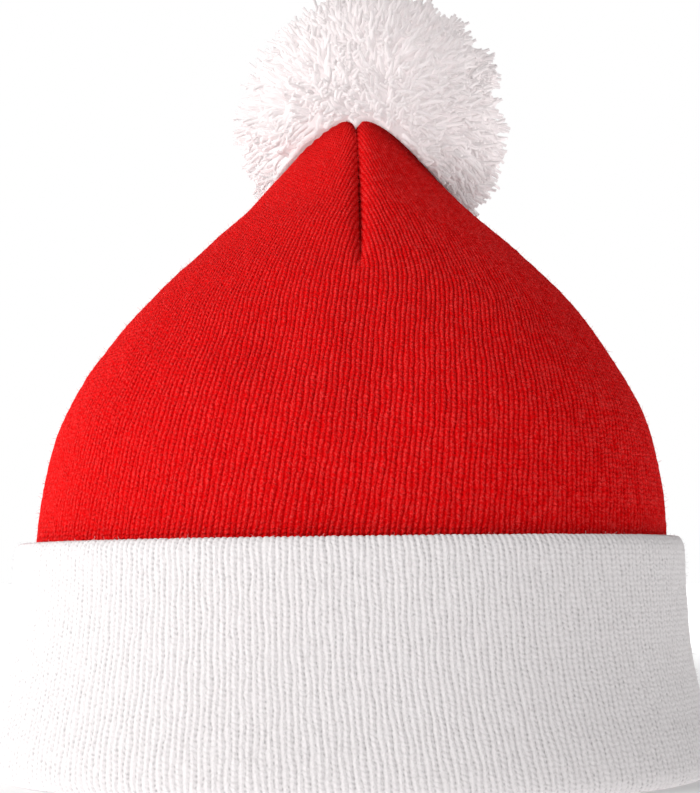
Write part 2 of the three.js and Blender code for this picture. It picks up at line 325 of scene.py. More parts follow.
crown = {
    "rings": asRows("z halfWidth halfDepth shiftX shiftY lean power", [
        (44.3, 93.4, 74.0, 1.2, 0.0, 0.0, 2.3),
        (65, 92.9, 73.5, 1.8, 0.0, 0.0, 2.3),
        (83, 91.3, 72.0, 2.2, 0.2, 0.0, 2.3),
        (101, 86.8, 68.5, 2.8, 0.5, 0.0, 2.3),
        (119, 77.4, 61.6, 3.2, 1.0, 0.0, 2.2),
        (137, 64.8, 52.6, 4.0, 2.2, -0.02, 1.92),
        (152, 51.2, 43.0, 4.1, 4.0, -0.06, 1.62),
        (166, 37.0, 32.4, 3.9, 6.2, -0.14, 1.42),
        (178.5, 26.0, 23.6, 3.6, 8.0, -0.24, 1.33),
        (188.5, 17.0, 15.6, 3.2, 9.2, -0.32, 1.34),
        (194, 9.0, 8.4, 3.0, 9.8, -0.36, 1.6),
        (195.3, 1.9, 1.9, 3.0, 10.0, -0.36, 2.0),
    ]),
    # depth and width of the rounded lips beside each dart, and the narrow slit between them
    "darts": asRows("fromTip depth width slit", [
        (0, 2.6, 1.6, 1.0),
        (14, 3.0, 2.0, 2.3),
        (32, 3.4, 2.6, 3.2),
        (60, 2.5, 2.8, 3.2),
        (76, 1.2, 2.8, 2.2),
        (87, 0.0, 2.8, 0.0),
    ]),
    "slitWidth": 0.9,
    "sideDarts": 0.5,  # the darts at the sides are shallower
    # angle from the front towards +X, rise along the wall
    "dents": asRows("angle rise radius depth", [
        (-20, 76, 10, 1.2),
        (2, 88, 8, 1.0),
        (5, 61, 10, 0.9),
        (88, 70, 14, 1.2),
        (160, 66, 13, 1.3),
        (-118, 82, 12, 1.2),
    ]),
    "lumps": 0.22,  # mm, soft lumps of unstretched knit
    # legs of each quarter taken in by the dart at its front or back and by the dart at its side
    # spread: how much wider the legs are at front and back than at the sides
    "gather": asRows("fromTip front side spread", [
        (0, 19.0, 63.0, 0.0),
        (7, 17.5, 55.5, 0.0),
        (17, 15.0, 45.0, 0.0),
        (30, 11.6, 35.0, 0.08),
        (47, 7.0, 25.6, 0.16),
        (68, 2.2, 13.2, 0.22),
        (87, 0.0, 0.0, 0.26),
        (108, 0.0, 0.0, 0.1),
        (150, 0.0, 0.0, 0.0),
        (200, 0.0, 0.0, 0.0),
    ]),
    "gatherFade": 1.3,  # legs over which a rib fades before a dart takes it in
    "wall": 3.8,
    "tipBlend": (6, 26),
    "hiddenRise": 16,  # what is lower is behind the cuff
    "rowPitch": 1.75,
    "insideRows": 18,
    "insideCrowd": 1.3,  # the inside rows stand closer together towards the tip
    "twist": 4.5,  # degrees that the ribs lean below the darts
    "twistGrowth": (0.5, 0.55),  # at the darts, and more of it at the bottom
    "legWidth": 1.45,  # mm
    "straightTip": (4, 30),  # mm from the tip, where the ribs begin to drift
    "flatTip": (1, 6),
    "ribHeight": 0.36,  # mm
    "grooveExtra": 0.18,
    "uneven": 0.3,
    "stitchShift": 0.72,
    "calmTop": (10, 100, 0.5),  # ribs grow shallower towards the tip
}
crownPlaces = [0.0]
for low, high in zip(crown["rings"], crown["rings"][1:]):
    crownPlaces.append(crownPlaces[-1] + math.hypot(high["z"] - low["z"], high["halfWidth"] - low["halfWidth"]))
crownLength = crownPlaces[-1]
tipRing = crown["rings"][-1]
tipLean = math.atan(-tipRing["lean"])
tipAxis = np.array([0, math.sin(tipLean), math.cos(tipLean)])
tipPoint = np.array([tipRing["shiftX"], tipRing["shiftY"], tipRing["z"]])

def ringAt(rise):
    return {key: readTable(crown["rings"], key, crownPlaces, rise) for key in crown["rings"][0]}

def domePoints(rise, angle):
    ring = ringAt(rise)
    x, y = outline(angle, ring["halfWidth"], ring["halfDepth"], ring["power"])
    return np.stack([x + ring["shiftX"], y + ring["shiftY"], ring["z"] + ring["lean"] * y], -1)

def domeOutward(rise, angle):
    step = 0.01
    up = domePoints(np.minimum(rise + step, crownLength), angle) - domePoints(np.maximum(rise - step, 0), angle)
    across = domePoints(rise, angle + step) - domePoints(rise, angle - step)
    normal = np.cross(across, up)
    normal /= np.linalg.norm(normal, axis=-1, keepdims=True)
    share = smoothStep(crownLength - rise, *crown["tipBlend"])[..., None]
    mixed = normal * share + tipAxis * (1 - share)
    return mixed / np.linalg.norm(mixed, axis=-1, keepdims=True)

def pressedIn(rise, points):
    ring = ringAt(rise)
    fromTip = crownLength - rise
    ends = [row["fromTip"] for row in crown["darts"]]
    depth = np.where(fromTip < ends[-1], readTable(crown["darts"], "depth", ends, fromTip), 0)
    width = readTable(crown["darts"], "width", ends, fromTip)
    aside = np.minimum(np.abs(points[..., 0] - ring["shiftX"]), np.abs(points[..., 1] - ring["shiftY"]))
    slit = np.where(fromTip < ends[-1], readTable(crown["darts"], "slit", ends, fromTip), 0)
    atSide = np.abs(points[..., 1] - ring["shiftY"]) < np.abs(points[..., 0] - ring["shiftX"])
    total = depth * np.exp(-aside / width) + slit * np.exp(-aside / crown["slitWidth"])
    total = total * np.where(atSide, crown["sideDarts"], 1.0)
    for dent in crown["dents"]:
        middle = domePoints(np.array(float(dent["rise"])), np.array(math.radians(dent["angle"])))
        away = np.linalg.norm(points - middle, axis=-1) / dent["radius"]
        total = total + dent["depth"] * np.exp(-away * away)
    x, y, z = points[..., 0], points[..., 1], points[..., 2]
    return total + crown["lumps"] * np.sin(x / 6.1 + z / 9.7) * np.sin(z / 7.9 + y / 8.3 + 1.1)

def crownSkin(rise, angle, inset):
    points = domePoints(rise, angle)
    return points - domeOutward(rise, angle) * (pressedIn(rise, points) + inset)[..., None]

def crownAngles(rise, legs):
    # where each leg is at one level, and how much its rib is faded there
    fromTip = crownLength - rise
    ends = [row["fromTip"] for row in crown["gather"]]
    front, side, spread = (max(float(readTable(crown["gather"], key, ends, fromTip)), 0)
                           for key in ("front", "side", "spread"))
    dartStart = crownLength - crown["darts"][-1]["fromTip"]
    below = max(dartStart - rise, 0)
    least, more = crown["twistGrowth"]
    twist = -math.tan(math.radians(crown["twist"])) * below * (least + more * below / dartStart) / crown["legWidth"]
    place = (legs + twist + knit["legs"] / 2) % knit["legs"]
    quarter = np.minimum(np.floor(place / legsPerQuarter), 3)
    odd = quarter % 2 == 1
    local = place - quarter * legsPerQuarter
    low = np.where(odd, side, front)
    high = legsPerQuarter - np.where(odd, front, side)
    clamped = np.clip(local, low, high)
    share = (clamped - low) / (high - low)
    bend = spread * np.sin(math.pi * share) / math.pi
    share = share + np.where(odd, -bend, bend)
    ring = ringAt(np.array(rise))
    angle = angleRound(float(ring["halfWidth"]), float(ring["halfDepth"]), quarter, share, float(ring["power"]))
    fade = np.ones_like(local)
    for edge, taken in ((clamped - low, low), (high - clamped, legsPerQuarter - high)):
        reach = crown["gatherFade"] * np.minimum(taken, 1)
        fade = np.minimum(fade, np.where(reach > 1e-6, np.clip(edge / np.maximum(reach, 1e-6), 0, 1), 1))
    near, over = crown["straightTip"]
    slide = wobble(legs, rise) * min(1, max(fromTip - near, 0) / over) * (math.pi / 2) / (high - low) * fade
    atDart = fade < 1e-9
    angle = np.where(atDart, np.round(angle / (math.pi / 2)) * (math.pi / 2), angle + slide)
    return angle % (2 * math.pi), fade

def makeCrown():
    hidden = crown["hiddenRise"]
    outside = np.concatenate([[0, hidden / 2], np.arange(hidden, crownLength, crown["rowPitch"]), [crownLength]])
    steps = np.linspace(0, 1, crown["insideRows"])
    inside = crownLength * (1 - (1 - steps) ** crown["insideCrowd"])[::-1]
    near, far, least = crown["calmTop"]
    flat, over = crown["flatTip"]
    rows = []
    for inset, rises in ((0.0, outside), (crown["wall"], inside)):
        for rise in rises:
            angle, faded = crownAngles(float(rise), allLegs)
            points = crownSkin(np.full(len(allLegs), float(rise)), angle, inset)
            calm = least + (1 - least) * float(smoothStep(crownLength - rise, near, far))
            fade = faded * calm * min(1, max(crownLength - rise - flat, 0) / over)
            rows.append((points, fade, inset == 0 and rise >= hidden, rise))
    return knitMesh("crownKnit", rows)

def reliefTree(material):
    # the ribs, pressed into any knitted skin
    tree, ids, given, leave = newTree("ribRelief", ("Rib Height", "Groove Extra", "Uneven", "Stitch Shift"))
    leg = times(tree, namedFloat(tree, "wale"), math.pi)
    fade = namedFloat(tree, "fade")
    ridge = calc(tree, "POWER", calc(tree, "ABSOLUTE", calc(tree, "SINE", leg)), knit["ridgePower"])
    groove = calc(tree, "SUBTRACT", 1.0, ridge)
    tension = calc(tree, "SUBTRACT", noise(tree, knit["tensionScale"]), 0.5)
    uneven = times(tree, tension, given["Uneven"])
    depth = times(tree, groove, given["Rib Height"])
    extra = times(tree, times(tree, groove, swing(tree, leg)), given["Groove Extra"])
    total = plus(tree, plus(tree, depth, extra), uneven)
    total = times(tree, total, times(tree, fade, -1.0))
    normal = source(tree, "GeometryNodeInputNormal", "Normal")
    # each stitch sits a little differently
    shift = aboutZero(tree, noise(tree, knit["stitchScale"], 1).outputs["Color"])
    shift = scaled(tree, shift, times(tree, given["Stitch Shift"], fade))
    offset = vectorSum(tree, scaled(tree, normal, total), shift)
    move = addNode(tree, "GeometryNodeSetPosition", {"Geometry": given["Geometry"], "Offset": offset})
    endTree(tree, leave, move, material)
    return tree, ids

def pressRibs(piece, settings, material):
    tree, ids = reliefTree(material)
    return runTree(piece, tree, ids, {
        "Rib Height": settings["ribHeight"] * mm, "Groove Extra": settings["grooveExtra"] * mm,
        "Uneven": settings["uneven"] * mm, "Stitch Shift": settings["stitchShift"] * mm})

stitchLook = {  # the same for both colours
    "driftScale": 420,
    "holeAcross": (0.15, 0.62),
    "holeRound": 1.6,
    "holeMissing": (0.38, 0.62, 0.1),  # some holes are drawn shut
    "grooveWidth": 0.75,
    "fibreAcross": 9.0, "fibreLean": 3.0, "fibreAlong": 2.3,  # fibres run along the legs
    "middle": 0.62,
    "stops": (0.0, 0.95, 0.58),  # of the darker tone with painted shade, the lighter fibres with painted highlight, and the base colour
    "roughness": 0.9, "sheenRoughness": 0.45,
}

def knitMaterial(name, look):
    # legs, grooves and the little holes between the legs of each stitch, with painted shade darkening the grooves
    # and holes in the base colour
    look = {**stitchLook, **look}
    material, tree, shader = newMaterial(name)
    flat = addNode(tree, "ShaderNodeUVMap", uv_map="knit")
    split = addNode(tree, "ShaderNodeSeparateXYZ", {"Vector": flat}).outputs
    spot = source(tree, "ShaderNodeTexCoord", "Object")
    drift = noise(tree, look["driftScale"], 2.0, spot).outputs["Color"]
    drift = addNode(tree, "ShaderNodeSeparateColor", {"Color": drift}).outputs
    wale = plus(tree, split["X"], centred(tree, drift["Red"], look["waleDrift"]))
    course = plus(tree, split["Y"], centred(tree, drift["Green"], look["courseDrift"]))
    legWave = calc(tree, "ABSOLUTE", calc(tree, "SINE", times(tree, wale, 2 * math.pi)))
    # 0.5 at the groove between columns, 0 between the legs of one
    fromMiddle = calc(tree, "ABSOLUTE", calc(tree, "SUBTRACT", calc(tree, "FRACT", wale), 0.5))
    # each leg leans out from the middle of its column
    lean = calc(tree, "MULTIPLY_ADD", fromMiddle, look["legLean"], course)
    stitch = swing(tree, times(tree, lean, 2 * math.pi))
    # small gaps in every groove, half a row lower between the columns than inside them
    holeRow = calc(tree, "MULTIPLY_ADD", calc(tree, "LESS_THAN", fromMiddle, 0.25), 0.5, course)
    holeRow = calc(tree, "POWER", swing(tree, times(tree, holeRow, 2 * math.pi)), look["holeRound"])
    hole = times(tree, remap(tree, legWave, *look["holeAcross"], 1.0, 0.0, True), holeRow)
    hole = times(tree, hole, remap(tree, drift["Blue"], *look["holeMissing"]))
    groove = remap(tree, legWave, 0.0, look["grooveWidth"], 1.0, 0.0, True)
    stretch = addNode(tree, "ShaderNodeCombineXYZ", {
        "X": times(tree, wale, look["fibreAcross"]),
        "Y": calc(tree, "MULTIPLY_ADD", wale, look["fibreLean"], times(tree, course, look["fibreAlong"]))})
    fibre = noise(tree, 1.0, 3.0, stretch)
    mottle = noise(tree, look["mottleScale"], 4.0, spot)
    tone = plus(tree, centred(tree, mottle, look["mottle"]), centred(tree, fibre, look["fibreTone"]))
    # painted shade: the grooves and the small gaps between legs are darkened in the base colour
    shade = plus(tree, times(tree, groove, look["grooveShade"]), times(tree, hole, look["holeShade"]))
    level = plus(tree, calc(tree, "SUBTRACT", tone, shade), look["middle"])
    # the low end is darker yarn and painted shade in grooves and holes; the high end is lighter fibre and painted
    # highlight
    stops = zip(look["stops"], (look["darkToneAndShade"], look["lightFibreAndHighlight"], look["base"]))
    height = calc(tree, "MULTIPLY_ADD", stitch, look["stitchBump"], times(tree, fibre, look["fibreBump"]))
    height = calc(tree, "SUBTRACT", height, times(tree, hole, look["holeBump"]))
    height = plus(tree, height, times(tree, legWave, look["legBump"]))
    bump = addNode(tree, "ShaderNodeBump", {
        "Strength": look["bumpStrength"], "Distance": look["bumpDistance"], "Height": height})
    setInputs(tree, shader, {
        "Base Color": addRamp(tree, level, *stops), "Normal": bump,
        "Roughness": look["roughness"], "Specular IOR Level": look["specular"], "Sheen Weight": look["sheen"],
        "Sheen Roughness": look["sheenRoughness"], "Sheen Tint": (*look["sheenTint"], 1)})
    return material

redLook = {
    "darkToneAndShade": (0.40, 0.0002, 0.0006), "base": (0.53, 0.0017, 0.0025), "lightFibreAndHighlight": (0.79, 0.08, 0.075),
    "mottle": 0.18, "mottleScale": 420, "fibreTone": 0.52, "grooveShade": 0.3, "holeShade": 0.14,
    "waleDrift": 0.35, "courseDrift": 0.9,
    "legLean": 0.8, "stitchBump": 0.7, "fibreBump": 1.1, "holeBump": 0.5, "legBump": 0.3,
    "bumpStrength": 0.7, "bumpDistance": 0.0007, "sheen": 0.04, "sheenTint": (1.0, 0.24, 0.2), "specular": 0.015,
}
whiteLook = {
    "darkToneAndShade": (0.325, 0.312, 0.316), "base": (0.545, 0.523, 0.528), "lightFibreAndHighlight": (0.61, 0.587, 0.593),
    "mottle": 0.2, "mottleScale": 420, "fibreTone": 0.36, "grooveShade": 0.1, "holeShade": 0.36,
    "waleDrift": 0.3, "courseDrift": 0.8,
    "legLean": 0.8, "stitchBump": 0.35, "fibreBump": 0.8, "holeBump": 0.5, "legBump": 0.2,
    "bumpStrength": 0.45, "bumpDistance": 0.0007, "sheen": 0.1, "sheenTint": (1.0, 1.0, 1.0), "specular": 0.06,
}
redKnit = knitMaterial("redRibKnit", redLook)
whiteKnit = knitMaterial("whiteRibKnit", whiteLook)

crownPiece = addObject("crownKnit", makeCrown())
pressRibs(crownPiece, crown, redKnit)
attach(crownPiece, "root")
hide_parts("crown")
print("crown knitted,", triangleCount(crownPiece.data), "triangles")

cuff = {
    "rings": asRows("z halfWidth halfDepth shiftX", [
        (0, 107.4, 87.0, 0.0),
        (10, 105.9, 85.6, 0.0),
        (19, 103.6, 83.5, 0.0),
        (33, 100.7, 81.0, 0.2),
        (47, 99.2, 79.6, 0.8),
        (58, 98.6, 79.0, 1.2),
        (70, 98.3, 78.8, 1.4),
    ]),
    "waves": [(3, 0.25, 40), (5, 0.2, 115)],  # count, height, turn
    "height": 65.0, "tilt": 0.012, "flap": 4.2, "slit": 1.3, "wall": 3.8, "seam": 44.0,
    "hiddenRows": (48.0, 24.0),  # heights of the rows between the two walls
    "foldDrop": 5.0, "restOut": 3.2, "restIn": 7.0,
    "twist": 5.0, "legWidth": 1.62, "driftStart": 40,
    "ribHeight": 0.26, "grooveExtra": 0.12, "uneven": 0.2, "stitchShift": 0.36,
    "floorRibs": 0.35,  # the ribs are pressed flat where the rim rests
    "fuzzy": (2.5, 3),  # mm in from the face and up from the floor, the limits of its fibres
}

def cuffPath():
    # the knit in section: depth in from the outer face and height, from the rim's flat round and back
    high, flap, drop = cuff["height"], cuff["flap"], cuff["foldDrop"]
    wallOut = flap + cuff["slit"]
    wallIn = wallOut + cuff["wall"]
    path = []
    for turn in np.radians(np.linspace(90, 0, 6)):  # outer corner at the rim
        path.append((cuff["restOut"] * (1 - math.cos(turn)), drop * (1 - math.sin(turn))))
    for z in np.linspace(drop, high - flap, 40)[1:]:
        path.append((0.0, z))
    for turn in np.radians(np.linspace(0, 180, 12))[1:]:  # soft top edge
        path.append((flap / 2 * (1 - math.cos(turn)), high - flap + flap * math.sin(turn)))
    upper, lower = cuff["hiddenRows"]
    path += [(flap, upper), (flap, lower), (flap, drop + cuff["slit"])]
    path += [(flap + cuff["slit"] / 2, drop)]
    path += [(wallOut, drop + cuff["slit"]), (wallOut, lower), (wallOut, cuff["seam"])]
    for z in np.linspace(cuff["seam"], drop, 9):
        path.append((wallIn, z))
    inner = wallIn - cuff["restIn"]
    for turn in np.radians(np.linspace(0, 90, 5))[1:]:  # inner corner at the rim
        path.append((wallIn - inner * (1 - math.cos(turn)), drop * (1 - math.sin(turn))))
    return path

def cuffRing(z):
    heights = [row["z"] for row in cuff["rings"]]
    return {key: readTable(cuff["rings"], key, heights, z) for key in cuff["rings"][0]}

def cuffPoints(angle, depth, z):
    ring = cuffRing(z)
    share = z / cuff["height"]
    wave = sum(height * np.sin(count * angle + math.radians(turn)) for count, height, turn in cuff["waves"])
    out = share * wave - depth
    x, y = outline(angle, ring["halfWidth"] + out, ring["halfDepth"] + out)
    lift = share**2 * cuff["tilt"] * x if depth <= cuff["flap"] else 0 * x
    return np.stack([x + ring["shiftX"], y, z + lift], -1)

def makeCuff():
    path = cuffPath()
    along = [0.0]
    for a, b in zip(path, path[1:]):
        along.append(along[-1] + math.hypot(b[0] - a[0], b[1] - a[1]))
    topAt = along[max(range(len(path)), key=lambda i: path[i][1])]
    deepest, lowest = cuff["fuzzy"]
    rows = []
    for (depth, z), length in zip(path, along):
        width, thick = (float(cuffRing(z)[key]) - depth for key in ("halfWidth", "halfDepth"))
        twist = math.tan(math.radians(cuff["twist"])) * (topAt - length) / cuff["legWidth"]
        drift = wobble(allLegs, length + cuff["driftStart"])
        place = (allLegs + twist + knit["legs"] / 2 + drift) % knit["legs"]
        quarter = np.minimum(np.floor(place / legsPerQuarter), 3)
        share = (place - quarter * legsPerQuarter) / legsPerQuarter
        points = cuffPoints(angleRound(width, thick, quarter, share), depth, z)
        fade = np.full(len(allLegs), cuff["floorRibs"] if z < 0.5 else 1.0)
        rows.append((points, fade, depth < deepest and z > lowest, length))
    return knitMesh("cuffKnit", rows)

cuffPiece = addObject("cuffKnit", makeCuff())
cuffMesh = pressRibs(cuffPiece, cuff, whiteKnit)
cuffSpots = coordsOf(cuffMesh)
cuffSpots[:, 2] = np.maximum(cuffSpots[:, 2], 0)  # the rim lies on the surface
setCoords(cuffMesh, cuffSpots)
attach(cuffPiece, "root")
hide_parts("cuff")
print("cuff knitted,", triangleCount(cuffPiece.data), "triangles")

# loose fibres that stand off the knit
fuzz = {
    "crown": {"count": 7000, "length": 0.95, "thick": 0.045, "seed": 21},
    "cuff": {"count": 5600, "length": 0.75, "thick": 0.045, "seed": 34},
    "red": (0.85, 0.05, 0.05),
    "white": (0.58, 0.56, 0.565),
    "dark": 0.75,  # the darkest fibres, as a share of the colour
    "lean": 1.1,
    "curl": 0.8,
    "sizes": (0.4, 1.3),
    "taper": 0.4,
    "points": 3,
    "sides": 3,
    "offFloor": 0.0002,  # m
}

def toneOf(tree):
    return addNode(tree, "ShaderNodeAttribute", attribute_name="tone").outputs["Fac"]

def fibreMaterial(name, colour):
    material, tree, shader = newMaterial(name)
    shades = addRamp(tree, toneOf(tree), (0.0, [fuzz["dark"] * c for c in colour]), (1.0, colour))
    setInputs(tree, shader, {"Base Color": shades, "Roughness": 0.7, "Specular IOR Level": 0.1})
    return material

def standLines(tree, points, way, length, count):
    # a line of a few points on every point, along its own way
    turn = addNode(tree, "FunctionNodeAlignRotationToVector", {"Vector": way}, axis="Z")
    line = addNode(tree, "GeometryNodeCurvePrimitiveLine", {"End": (0, 0, 1)})
    steps = addNode(tree, "GeometryNodeResampleCurve", {"Curve": line, "Count": count})
    place = addNode(tree, "GeometryNodeInstanceOnPoints", {
        "Points": points, "Instance": steps, "Rotation": turn, "Scale": length})
    return addNode(tree, "GeometryNodeRealizeInstances", {"Geometry": place})

def makeTubes(tree, curves, offset, strand, radius, sides):
    # the lines are bent and become round yarn with a tone of its own
    move = addNode(tree, "GeometryNodeSetPosition", {"Geometry": curves, "Offset": offset})
    keep = addNode(tree, "GeometryNodeStoreNamedAttribute", {
        "Geometry": move, "Name": "tone", "Value": randomValue(tree, 0.0, 1.0, {"ID": strand})},
        data_type="FLOAT", domain="POINT")
    ring = addNode(tree, "GeometryNodeCurvePrimitiveCircle", {"Resolution": sides, "Radius": 1.0})
    return addNode(tree, "GeometryNodeCurveToMesh", {
        "Curve": keep, "Profile Curve": ring, "Scale": radius, "Fill Caps": True})

def fuzzTree(material):
    tree, ids, given, leave = newTree("knitFuzz", ("Density", "Length", "Thickness", "Seed"))
    shown = remap(tree, namedFloat(tree, "outer"), 0.49, 0.51)
    scatter = addNode(tree, "GeometryNodeDistributePointsOnFaces", {
        "Mesh": given["Geometry"], "Density": times(tree, given["Density"], shown), "Seed": given["Seed"]})
    lean = randomValue(tree, (-fuzz["lean"],) * 3, (fuzz["lean"],) * 3, {"Seed": given["Seed"]})
    way = vectorSum(tree, scatter.outputs["Normal"], lean)
    length = times(tree, randomValue(tree, *fuzz["sizes"]), given["Length"])
    loose = standLines(tree, scatter, way, length, fuzz["points"])
    along = source(tree, "GeometryNodeSplineParameter", "Factor")
    strand = source(tree, "GeometryNodeCurveOfPoint", "Curve Index")
    curl = randomValue(tree, (-fuzz["curl"],) * 3, (fuzz["curl"],) * 3, {"ID": strand})
    bend = scaled(tree, curl, times(tree, calc(tree, "POWER", along, 2.0), given["Length"]))
    radius = times(tree, remap(tree, along, 0, 1, 1.0, fuzz["taper"]), given["Thickness"])
    endTree(tree, leave, makeTubes(tree, loose, bend, strand, radius, fuzz["sides"]), material)
    return tree, ids

def addFuzz(name, knitted, settings, material, node):
    piece = addObject(name, knitted.data.copy())
    outer = np.empty(len(piece.data.vertices), np.float32)
    piece.data.attributes["outer"].data.foreach_get("value", outer)
    area = sum(p.area for p in piece.data.polygons if outer[p.vertices[0]] > 0.5)
    tree, ids = fuzzTree(material)
    done = runTree(piece, tree, ids, {"Density": settings["count"] / area, "Length": settings["length"] * mm,
                                      "Thickness": settings["thick"] * mm, "Seed": settings["seed"]})
    shadeSmooth(done)
    points = coordsOf(done)
    points[:, 2] = np.maximum(points[:, 2], fuzz["offFloor"])
    setCoords(done, points)
    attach(piece, "root")
    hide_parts(node)
    print(name, triangleCount(done), "triangles")

redFibre = fibreMaterial("redFibre", fuzz["red"])
whiteFibre = fibreMaterial("whiteFibre", fuzz["white"])
addFuzz("crownFuzz", crownPiece, fuzz["crown"], redFibre, "crown")
addFuzz("cuffFuzz", cuffPiece, fuzz["cuff"], whiteFibre, "cuff")

pompom = {
    "centre": (8.2, 24.5, 201.0),  # mm
    "radius": 42.5,
    "coreShare": 0.868,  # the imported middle, as a share of the radius
    "coreDetail": 6,
    "anchor": (8.2, 31.0, 210.0),  # inside the ball, clear of the crown's tip
    "crest": (4.5, 0.0, 197.0),  # the top of the crown in front, which the strands are combed away from
    "crestZone": 0.215,  # m, what is higher can't hang in front of the crest
    "crestReach": 0.07,  # m, how far behind a strand the crest may be
    "crownZone": 0.2,  # m, what is higher can't touch the crown
    "clearance": 0.5,  # mm to the crown
    "rootGap": 0.55,  # mm, the core has strands where it is farther off the crown
    "rootShare": 0.985,  # strands start a little inside the core
    "strands": 5300,  # for each of two pieces
    "strandLength": 7.0,  # mm
    "strandRadius": 0.78,
    "strandPoints": 5,
    "strandSides": 4,
    "strandTaper": (0.45, 0.62),  # where it starts, and the share left at the cut end
    "trim": (0.7, 1.12),  # cut ends are never quite even
    "lockTrim": (0.8, 1.14),
    "stand": 0.42,  # shares of standing out, combing, and leaning with the lock and the yarn
    "comb": 0.5,
    "lockLean": 0.9,
    "yarnLean": 0.8,
    "shake": 0.22,
    "lockSize": 4.6,  # locks and yarns across the ball's radius
    "yarnSize": 13.0,
    "wave": 2.0,  # mm at the tips
    "stray": 0.012,  # share of strands that stick out
    "strayExtra": 0.55,
    "seeds": (3, 11),
    "yarnTones": ((0.765, 0.726, 0.73), (0.83, 0.788, 0.792)),
    "plyScale": 2600,  # of the noise that shows the plies, and its share of the tone
    "plyTone": 0.3,
    "bends": ((-1, -1, -1.3), (1, 1, 0.7)),  # limits of a strand's own bend, more down than up
    "curlScale": 210,
    "curl": 2.2,
    "translucent": 0.45,
    "softShade": 0.5,
}

def yarnMaterial(name):
    material, tree, shader = newMaterial(name)
    spot = source(tree, "ShaderNodeTexCoord", "Object")
    plies = noise(tree, pompom["plyScale"], 2, spot)
    share = pompom["plyTone"]
    level = calc(tree, "MULTIPLY_ADD", plies, share, times(tree, toneOf(tree), 1 - share))
    dark, light = pompom["yarnTones"]
    colour = addRamp(tree, level, (0.0, dark), (1.0, light))
    bump = addNode(tree, "ShaderNodeBump", {"Strength": 0.4, "Distance": 0.0003, "Height": plies})
    setInputs(tree, shader, {
        "Base Color": colour, "Normal": bump, "Roughness": 0.85,
        "Specular IOR Level": 0.06, "Sheen Weight": 0.1, "Sheen Roughness": 0.5})
    # fine yarn also passes light on to its far side
    through = addNode(tree, "ShaderNodeBsdfTranslucent", {"Color": colour})
    mix = addNode(tree, "ShaderNodeMixShader", {"Fac": pompom["translucent"], 1: shader, 2: through})
    setInputs(tree, tree.nodes["Material Output"], {"Surface": mix})
    return material

pompomYarn = yarnMaterial("pompomYarn")

def strandTree(material):
    tree, ids, given, leave = newTree("pompomStrands", (
        "Density", "Strand Length", "Strand Radius", "Stand", "Comb", "Crest", "Lock Size", "Lock Lean",
        "Yarn Size", "Yarn Lean", "Wave", "Stray", "Seed"))
    scatter = addNode(tree, "GeometryNodeDistributePointsOnFaces", {
        "Mesh": given["Geometry"], "Density": given["Density"], "Seed": given["Seed"]})
    position = source(tree, "GeometryNodeInputPosition", "Position")
    straight = vectorCalc(tree, "NORMALIZE", position)
    away = vectorCalc(tree, "NORMALIZE", vectorCalc(tree, "SUBTRACT", position, given["Crest"]))
    way = vectorSum(tree, scaled(tree, straight, given["Stand"]), scaled(tree, away, given["Comb"]))
    # strands lean together twice: the plies of one yarn, then the yarns of one lock
    for size, lean in (("Yarn Size", "Yarn Lean"), ("Lock Size", "Lock Lean")):
        cells = addNode(tree, "ShaderNodeTexVoronoi", {
            "Scale": 1.0, "Vector": scaled(tree, straight, given[size])}).outputs["Color"]
        way = vectorSum(tree, way, scaled(tree, aboutZero(tree, cells), given[lean]))
    lockTone = addNode(tree, "ShaderNodeSeparateXYZ", {"Vector": cells}).outputs["X"]
    shake = randomValue(tree, (-pompom["shake"],) * 3, (pompom["shake"],) * 3, {"Seed": given["Seed"]})
    aim = vectorCalc(tree, "NORMALIZE", vectorSum(tree, way, shake))
    reach = times(tree, given["Strand Length"], randomValue(tree, *pompom["trim"]))
    reach = times(tree, reach, remap(tree, lockTone, 0, 1, *pompom["lockTrim"]))
    chance = randomValue(tree, 0.0, 1.0, {"Seed": given["Seed"]})
    stray = calc(tree, "LESS_THAN", chance, given["Stray"])
    reach = times(tree, reach, calc(tree, "MULTIPLY_ADD", stray, pompom["strayExtra"], 1.0))
    span = scaled(tree, aim, reach)
    length = vectorCalc(tree, "LENGTH", span)
    loose = standLines(tree, scatter, span, length, pompom["strandPoints"])
    # bend and wave, growing towards the cut ends
    along = source(tree, "GeometryNodeSplineParameter", "Factor")
    strand = source(tree, "GeometryNodeCurveOfPoint", "Curve Index")
    bend = randomValue(tree, *pompom["bends"], {"ID": strand, "Seed": given["Seed"]})
    curl = aboutZero(tree, noise(tree, pompom["curlScale"], 1, position).outputs["Color"])
    curl = scaled(tree, curl, pompom["curl"])
    sway = vectorSum(tree, scaled(tree, bend, calc(tree, "POWER", along, 2.0)), scaled(tree, curl, along))
    sway = scaled(tree, sway, given["Wave"])
    start, left = pompom["strandTaper"]
    radius = times(tree, remap(tree, along, start, 1.0, 1.0, left), given["Strand Radius"])
    endTree(tree, leave, makeTubes(tree, loose, sway, strand, radius, pompom["strandSides"]), material)
    return tree, ids

def crownSurface():
    # the crown's outer skin without ribs, to keep the pompom off it
    rows, columns = 70, 180
    turns = np.linspace(0, 2 * math.pi, columns + 1)[:-1]
    rises = np.linspace(60, crownLength, rows)
    grid = np.stack([crownSkin(np.full(columns, rise), turns, 0.0) for rise in rises]) * mm
    ids = np.arange(rows * columns).reshape(rows, columns)
    right = np.roll(ids, -1, axis=1)
    faces = np.stack([ids[:-1], right[:-1], right[1:], ids[1:]], -1).reshape(-1, 4).tolist()
    faces.append(ids[-1].tolist())
    return BVHTree.FromPolygons(grid.reshape(-1, 3).tolist(), faces)

crownTree = crownSurface()
pompomCentre = np.array(pompom["centre"]) * mm
eye = Vector(viewSetup["place"]) * mm

